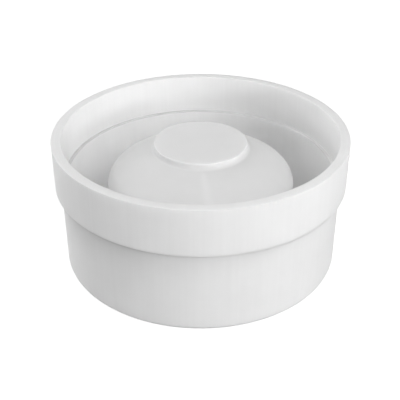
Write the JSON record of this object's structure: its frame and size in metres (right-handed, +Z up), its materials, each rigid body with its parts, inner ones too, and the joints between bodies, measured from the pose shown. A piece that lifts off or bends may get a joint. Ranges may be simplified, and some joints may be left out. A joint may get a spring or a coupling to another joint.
{
  "type": "floor drain trap insert",
  "caption": "Round white plastic water trap insert for a floor drain: a cup with a thick collar and a central outlet pipe, and a lift-out bell with a flat finger knob.",
  "frame": {"origin": "centre of the base, at the bottom of the foot ring, on the axis of the part", "axes": "+Z up along the axis, from the base to the rim; X and Y lie between the bell's ribs"},
  "size_m": [0.11, 0.11, 0.0507],
  "materials": {
    "cup_plastic": "satin white moulded plastic",
    "bell_plastic": "satin white moulded plastic"
  },
  "bodies": {
    "root": {"trap_cup": "cup_plastic", "bell": "bell_plastic"}
  },
  "joints": []
}
